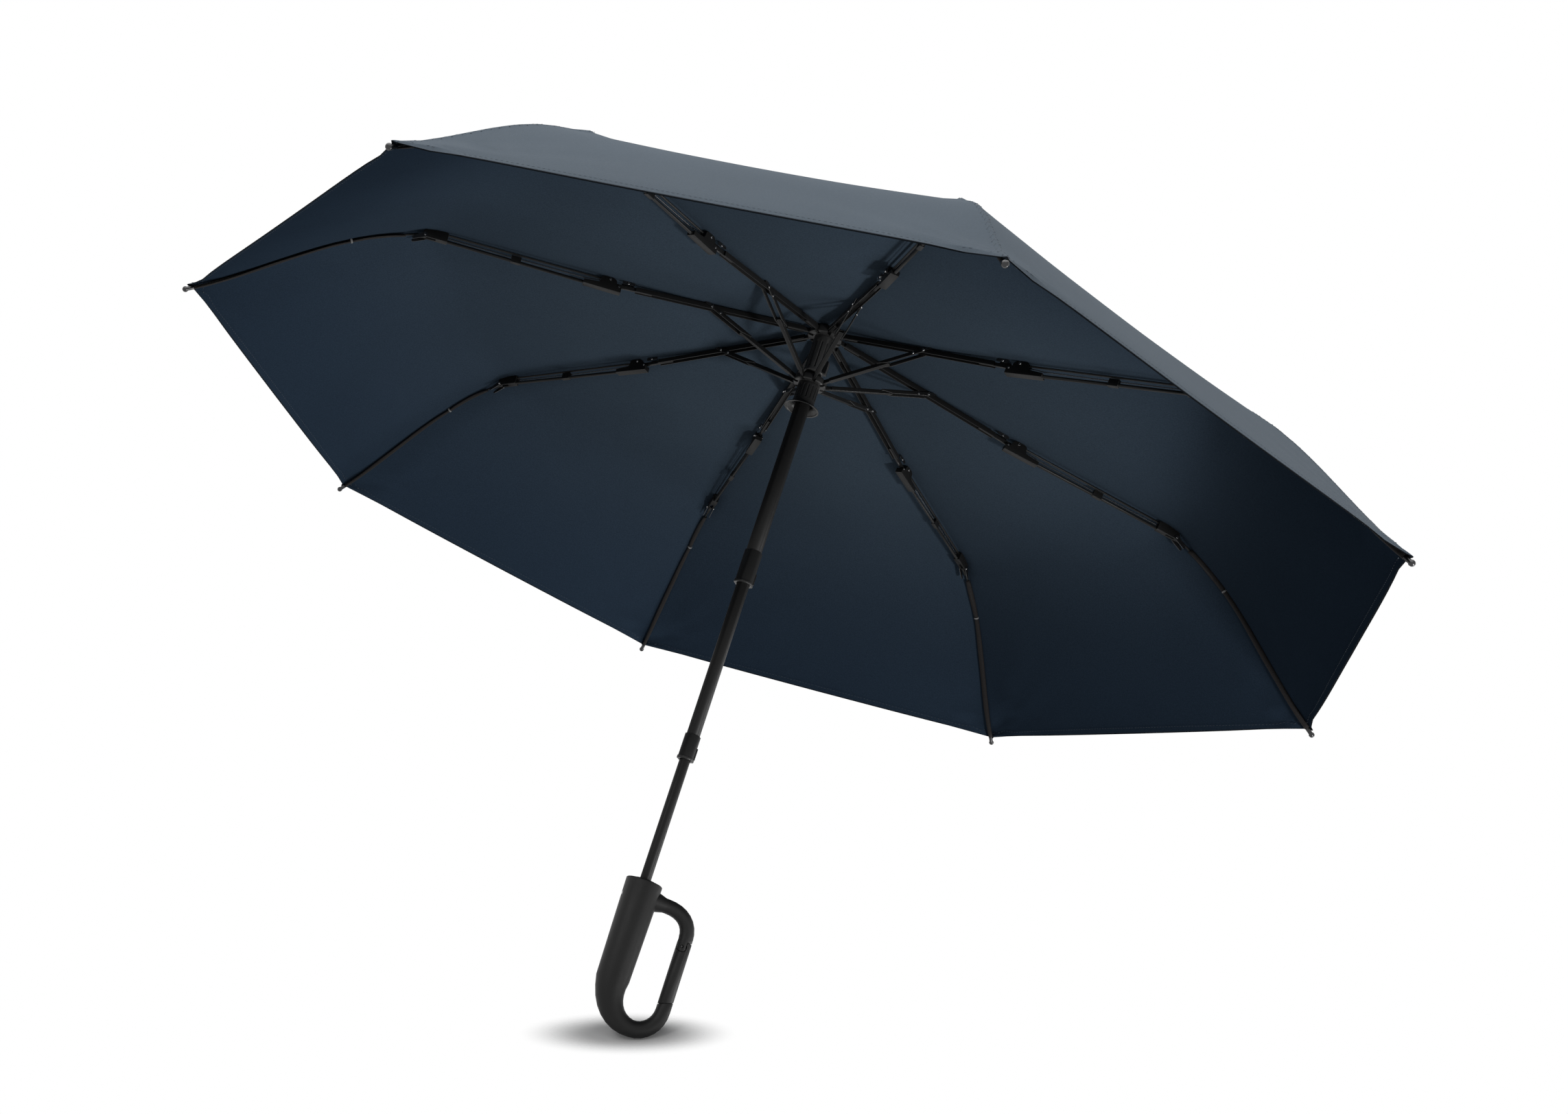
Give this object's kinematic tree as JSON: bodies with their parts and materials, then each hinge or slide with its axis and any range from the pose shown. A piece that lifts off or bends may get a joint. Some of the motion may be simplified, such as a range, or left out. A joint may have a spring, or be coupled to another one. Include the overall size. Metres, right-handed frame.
{
  "type": "folding umbrella",
  "caption": "Open folding umbrella with hinged double-rod ribs, a telescopic hexagonal shaft, a sliding runner, a push button and a grip that bends into a gated carabiner ring.",
  "frame": {"origin": "on the shaft axis in the middle of the grip, where a hand holds it", "axes": "+Z along the shaft from the grip to the top cap; +X from the shaft to the carabiner gate; the push button faces +Y"},
  "size_m": [1.064, 1.064, 0.6542],
  "materials": {
    "grip_black": "soft-touch black with a fine grain",
    "black_plastic": "moulded black, low sheen",
    "black_paint": "satin black paint with worn bright edges",
    "steel": "plated",
    "tip_metal": "dark plated, polished ball",
    "navy_cloth": "dense plain-weave polyester, dull"
  },
  "bodies": {
    "grip": {"grip": "grip_black", "grip_collar": "black_plastic", "grip_screw": "steel", "lower_tube": "black_paint", "gate_pin": "steel", "button_spring": "steel", "lift_spring": "steel"},
    "gate": {"gate": "grip_black"},
    "button": {"button": "grip_black"},
    "middle_tube": {"middle_tube": "black_paint", "lower_sleeve": "black_plastic"},
    "crown": {"upper_tube": "black_paint", "upper_sleeve": "black_plastic", "notch": "black_plastic", "notch_barrel": "black_plastic", "top_cap": "black_plastic", "canopy": "navy_cloth"},
    "runner": {"runner": "black_plastic", "runner_ring": "black_plastic"},
    "inner_rib_1": {"inner_rib_1": "black_paint"},
    "stretcher_1": {"stretcher_1": "black_paint"},
    "middle_rib_1": {"middle_rib_1": "black_plastic"},
    "outer_rib_1": {"outer_rib_1": "black_paint", "rib_tip_1": "tip_metal"},
    "inner_rib_2": {"inner_rib_2": "black_paint"},
    "stretcher_2": {"stretcher_2": "black_paint"},
    "middle_rib_2": {"middle_rib_2": "black_plastic"},
    "outer_rib_2": {"outer_rib_2": "black_paint", "rib_tip_2": "tip_metal"},
    "inner_rib_3": {"inner_rib_3": "black_paint"},
    "stretcher_3": {"stretcher_3": "black_paint"},
    "middle_rib_3": {"middle_rib_3": "black_plastic"},
    "outer_rib_3": {"outer_rib_3": "black_paint", "rib_tip_3": "tip_metal"},
    "inner_rib_4": {"inner_rib_4": "black_paint"},
    "stretcher_4": {"stretcher_4": "black_paint"},
    "middle_rib_4": {"middle_rib_4": "black_plastic"},
    "outer_rib_4": {"outer_rib_4": "black_paint", "rib_tip_4": "tip_metal"},
    "inner_rib_5": {"inner_rib_5": "black_paint"},
    "stretcher_5": {"stretcher_5": "black_paint"},
    "middle_rib_5": {"middle_rib_5": "black_plastic"},
    "outer_rib_5": {"outer_rib_5": "black_paint", "rib_tip_5": "tip_metal"},
    "inner_rib_6": {"inner_rib_6": "black_paint"},
    "stretcher_6": {"stretcher_6": "black_paint"},
    "middle_rib_6": {"middle_rib_6": "black_plastic"},
    "outer_rib_6": {"outer_rib_6": "black_paint", "rib_tip_6": "tip_metal"},
    "inner_rib_7": {"inner_rib_7": "black_paint"},
    "stretcher_7": {"stretcher_7": "black_paint"},
    "middle_rib_7": {"middle_rib_7": "black_plastic"},
    "outer_rib_7": {"outer_rib_7": "black_paint", "rib_tip_7": "tip_metal"},
    "inner_rib_8": {"inner_rib_8": "black_paint"},
    "stretcher_8": {"stretcher_8": "black_paint"},
    "middle_rib_8": {"middle_rib_8": "black_plastic"},
    "outer_rib_8": {"outer_rib_8": "black_paint", "rib_tip_8": "tip_metal"}
  },
  "joints": [
    {"name": "gate_hinge", "type": "hinge", "parent": "grip", "child": "gate", "pos_m": [0.0441, 0, 0.0215], "axis": [0, 1, 0], "range_deg": [0, 24], "stiffness_Nm_per_rad": 0.05, "springref_deg": -34.38},
    {"name": "button_press", "type": "slide", "parent": "grip", "child": "button", "axis": [0, -1, 0], "range_m": [0, 0.0025], "stiffness_N_per_m": 400, "springref_m": -0.002, "deforming": ["button_spring"]},
    {"name": "telescope", "type": "slide", "parent": "grip", "child": "middle_tube", "axis": [0, 0, -1], "range_m": [0, 0.102], "stiffness_N_per_m": 60, "springref_m": -0.3, "deforming": ["lift_spring"]},
    {"name": "upper_telescope", "type": "slide", "parent": "middle_tube", "child": "crown", "axis": [0, 0, -1], "range_m": [0, 0.138]},
    {"name": "runner_slide", "type": "slide", "parent": "crown", "child": "runner", "axis": [0, 0, -1], "range_m": [0, 0.1431], "stiffness_N_per_m": 80, "springref_m": -0.3, "deforming": ["canopy"]},
    {"name": "inner_hinge_1", "type": "hinge", "parent": "crown", "child": "inner_rib_1", "pos_m": [0.013, 0, 0.575], "axis": [0, 1, 0], "range_deg": [0, 77.42]},
    {"name": "stretcher_hinge_1", "type": "hinge", "parent": "runner", "child": "stretcher_1", "pos_m": [0.013, 0, 0.52627], "axis": [0, 1, 0], "range_deg": [-68.41, 0]},
    {"name": "knee_hinge_1", "type": "hinge", "parent": "inner_rib_1", "child": "middle_rib_1", "pos_m": [0.19872, 0, 0.54558], "axis": [0, 1, 0], "range_deg": [-173.12, 0]},
    {"name": "outer_hinge_1", "type": "hinge", "parent": "middle_rib_1", "child": "outer_rib_1", "pos_m": [0.36365, 0, 0.51869], "axis": [0, 1, 0], "range_deg": [0, 145.52]},
    {"name": "inner_hinge_2", "type": "hinge", "parent": "crown", "child": "inner_rib_2", "pos_m": [0.00919, 0.00919, 0.575], "axis": [-0.7071, 0.7071, 0], "range_deg": [0, 77.42]},
    {"name": "stretcher_hinge_2", "type": "hinge", "parent": "runner", "child": "stretcher_2", "pos_m": [0.00919, 0.00919, 0.52627], "axis": [-0.7071, 0.7071, 0], "range_deg": [-68.41, 0]},
    {"name": "knee_hinge_2", "type": "hinge", "parent": "inner_rib_2", "child": "middle_rib_2", "pos_m": [0.14052, 0.14052, 0.54558], "axis": [-0.7071, 0.7071, 0], "range_deg": [-173.12, 0]},
    {"name": "outer_hinge_2", "type": "hinge", "parent": "middle_rib_2", "child": "outer_rib_2", "pos_m": [0.25714, 0.25714, 0.51869], "axis": [-0.7071, 0.7071, 0], "range_deg": [0, 145.52]},
    {"name": "inner_hinge_3", "type": "hinge", "parent": "crown", "child": "inner_rib_3", "pos_m": [0, 0.013, 0.575], "axis": [-1, 0, 0], "range_deg": [0, 77.42]},
    {"name": "stretcher_hinge_3", "type": "hinge", "parent": "runner", "child": "stretcher_3", "pos_m": [0, 0.013, 0.52627], "axis": [-1, 0, 0], "range_deg": [-68.41, 0]},
    {"name": "knee_hinge_3", "type": "hinge", "parent": "inner_rib_3", "child": "middle_rib_3", "pos_m": [0, 0.19872, 0.54558], "axis": [-1, 0, 0], "range_deg": [-173.12, 0]},
    {"name": "outer_hinge_3", "type": "hinge", "parent": "middle_rib_3", "child": "outer_rib_3", "pos_m": [0, 0.36365, 0.51869], "axis": [-1, 0, 0], "range_deg": [0, 145.52]},
    {"name": "inner_hinge_4", "type": "hinge", "parent": "crown", "child": "inner_rib_4", "pos_m": [-0.00919, 0.00919, 0.575], "axis": [-0.7071, -0.7071, 0], "range_deg": [0, 77.42]},
    {"name": "stretcher_hinge_4", "type": "hinge", "parent": "runner", "child": "stretcher_4", "pos_m": [-0.00919, 0.00919, 0.52627], "axis": [-0.7071, -0.7071, 0], "range_deg": [-68.41, 0]},
    {"name": "knee_hinge_4", "type": "hinge", "parent": "inner_rib_4", "child": "middle_rib_4", "pos_m": [-0.14052, 0.14052, 0.54558], "axis": [-0.7071, -0.7071, 0], "range_deg": [-173.12, 0]},
    {"name": "outer_hinge_4", "type": "hinge", "parent": "middle_rib_4", "child": "outer_rib_4", "pos_m": [-0.25714, 0.25714, 0.51869], "axis": [-0.7071, -0.7071, 0], "range_deg": [0, 145.52]},
    {"name": "inner_hinge_5", "type": "hinge", "parent": "crown", "child": "inner_rib_5", "pos_m": [-0.013, 0, 0.575], "axis": [0, -1, 0], "range_deg": [0, 77.42]},
    {"name": "stretcher_hinge_5", "type": "hinge", "parent": "runner", "child": "stretcher_5", "pos_m": [-0.013, 0, 0.52627], "axis": [0, -1, 0], "range_deg": [-68.41, 0]},
    {"name": "knee_hinge_5", "type": "hinge", "parent": "inner_rib_5", "child": "middle_rib_5", "pos_m": [-0.19872, 0, 0.54558], "axis": [0, -1, 0], "range_deg": [-173.12, 0]},
    {"name": "outer_hinge_5", "type": "hinge", "parent": "middle_rib_5", "child": "outer_rib_5", "pos_m": [-0.36365, 0, 0.51869], "axis": [0, -1, 0], "range_deg": [0, 145.52]},
    {"name": "inner_hinge_6", "type": "hinge", "parent": "crown", "child": "inner_rib_6", "pos_m": [-0.00919, -0.00919, 0.575], "axis": [0.7071, -0.7071, 0], "range_deg": [0, 77.42]},
    {"name": "stretcher_hinge_6", "type": "hinge", "parent": "runner", "child": "stretcher_6", "pos_m": [-0.00919, -0.00919, 0.52627], "axis": [0.7071, -0.7071, 0], "range_deg": [-68.41, 0]},
    {"name": "knee_hinge_6", "type": "hinge", "parent": "inner_rib_6", "child": "middle_rib_6", "pos_m": [-0.14052, -0.14052, 0.54558], "axis": [0.7071, -0.7071, 0], "range_deg": [-173.12, 0]},
    {"name": "outer_hinge_6", "type": "hinge", "parent": "middle_rib_6", "child": "outer_rib_6", "pos_m": [-0.25714, -0.25714, 0.51869], "axis": [0.7071, -0.7071, 0], "range_deg": [0, 145.52]},
    {"name": "inner_hinge_7", "type": "hinge", "parent": "crown", "child": "inner_rib_7", "pos_m": [0, -0.013, 0.575], "axis": [1, 0, 0], "range_deg": [0, 77.42]},
    {"name": "stretcher_hinge_7", "type": "hinge", "parent": "runner", "child": "stretcher_7", "pos_m": [0, -0.013, 0.52627], "axis": [1, 0, 0], "range_deg": [-68.41, 0]},
    {"name": "knee_hinge_7", "type": "hinge", "parent": "inner_rib_7", "child": "middle_rib_7", "pos_m": [0, -0.19872, 0.54558], "axis": [1, 0, 0], "range_deg": [-173.12, 0]},
    {"name": "outer_hinge_7", "type": "hinge", "parent": "middle_rib_7", "child": "outer_rib_7", "pos_m": [0, -0.36365, 0.51869], "axis": [1, 0, 0], "range_deg": [0, 145.52]},
    {"name": "inner_hinge_8", "type": "hinge", "parent": "crown", "child": "inner_rib_8", "pos_m": [0.00919, -0.00919, 0.575], "axis": [0.7071, 0.7071, 0], "range_deg": [0, 77.42]},
    {"name": "stretcher_hinge_8", "type": "hinge", "parent": "runner", "child": "stretcher_8", "pos_m": [0.00919, -0.00919, 0.52627], "axis": [0.7071, 0.7071, 0], "range_deg": [-68.41, 0]},
    {"name": "knee_hinge_8", "type": "hinge", "parent": "inner_rib_8", "child": "middle_rib_8", "pos_m": [0.14052, -0.14052, 0.54558], "axis": [0.7071, 0.7071, 0], "range_deg": [-173.12, 0]},
    {"name": "outer_hinge_8", "type": "hinge", "parent": "middle_rib_8", "child": "outer_rib_8", "pos_m": [0.25714, -0.25714, 0.51869], "axis": [0.7071, 0.7071, 0], "range_deg": [0, 145.52]}
  ],
  "couplings": [
    {"joint": "upper_telescope", "follows": "telescope", "ratio": 1.3529},
    {"joint": "inner_hinge_1", "follows": "runner_slide", "rad_per_m": 9.4401},
    {"joint": "stretcher_hinge_1", "follows": "runner_slide", "rad_per_m": -8.3415},
    {"joint": "knee_hinge_1", "follows": "runner_slide", "rad_per_m": -21.112},
    {"joint": "outer_hinge_1", "follows": "runner_slide", "rad_per_m": 17.746},
    {"joint": "inner_hinge_2", "follows": "runner_slide", "rad_per_m": 9.4401},
    {"joint": "stretcher_hinge_2", "follows": "runner_slide", "rad_per_m": -8.3415},
    {"joint": "knee_hinge_2", "follows": "runner_slide", "rad_per_m": -21.112},
    {"joint": "outer_hinge_2", "follows": "runner_slide", "rad_per_m": 17.746},
    {"joint": "inner_hinge_3", "follows": "runner_slide", "rad_per_m": 9.4401},
    {"joint": "stretcher_hinge_3", "follows": "runner_slide", "rad_per_m": -8.3415},
    {"joint": "knee_hinge_3", "follows": "runner_slide", "rad_per_m": -21.112},
    {"joint": "outer_hinge_3", "follows": "runner_slide", "rad_per_m": 17.746},
    {"joint": "inner_hinge_4", "follows": "runner_slide", "rad_per_m": 9.4401},
    {"joint": "stretcher_hinge_4", "follows": "runner_slide", "rad_per_m": -8.3415},
    {"joint": "knee_hinge_4", "follows": "runner_slide", "rad_per_m": -21.112},
    {"joint": "outer_hinge_4", "follows": "runner_slide", "rad_per_m": 17.746},
    {"joint": "inner_hinge_5", "follows": "runner_slide", "rad_per_m": 9.4401},
    {"joint": "stretcher_hinge_5", "follows": "runner_slide", "rad_per_m": -8.3415},
    {"joint": "knee_hinge_5", "follows": "runner_slide", "rad_per_m": -21.112},
    {"joint": "outer_hinge_5", "follows": "runner_slide", "rad_per_m": 17.746},
    {"joint": "inner_hinge_6", "follows": "runner_slide", "rad_per_m": 9.4401},
    {"joint": "stretcher_hinge_6", "follows": "runner_slide", "rad_per_m": -8.3415},
    {"joint": "knee_hinge_6", "follows": "runner_slide", "rad_per_m": -21.112},
    {"joint": "outer_hinge_6", "follows": "runner_slide", "rad_per_m": 17.746},
    {"joint": "inner_hinge_7", "follows": "runner_slide", "rad_per_m": 9.4401},
    {"joint": "stretcher_hinge_7", "follows": "runner_slide", "rad_per_m": -8.3415},
    {"joint": "knee_hinge_7", "follows": "runner_slide", "rad_per_m": -21.112},
    {"joint": "outer_hinge_7", "follows": "runner_slide", "rad_per_m": 17.746},
    {"joint": "inner_hinge_8", "follows": "runner_slide", "rad_per_m": 9.4401},
    {"joint": "stretcher_hinge_8", "follows": "runner_slide", "rad_per_m": -8.3415},
    {"joint": "knee_hinge_8", "follows": "runner_slide", "rad_per_m": -21.112},
    {"joint": "outer_hinge_8", "follows": "runner_slide", "rad_per_m": 17.746}
  ]
}
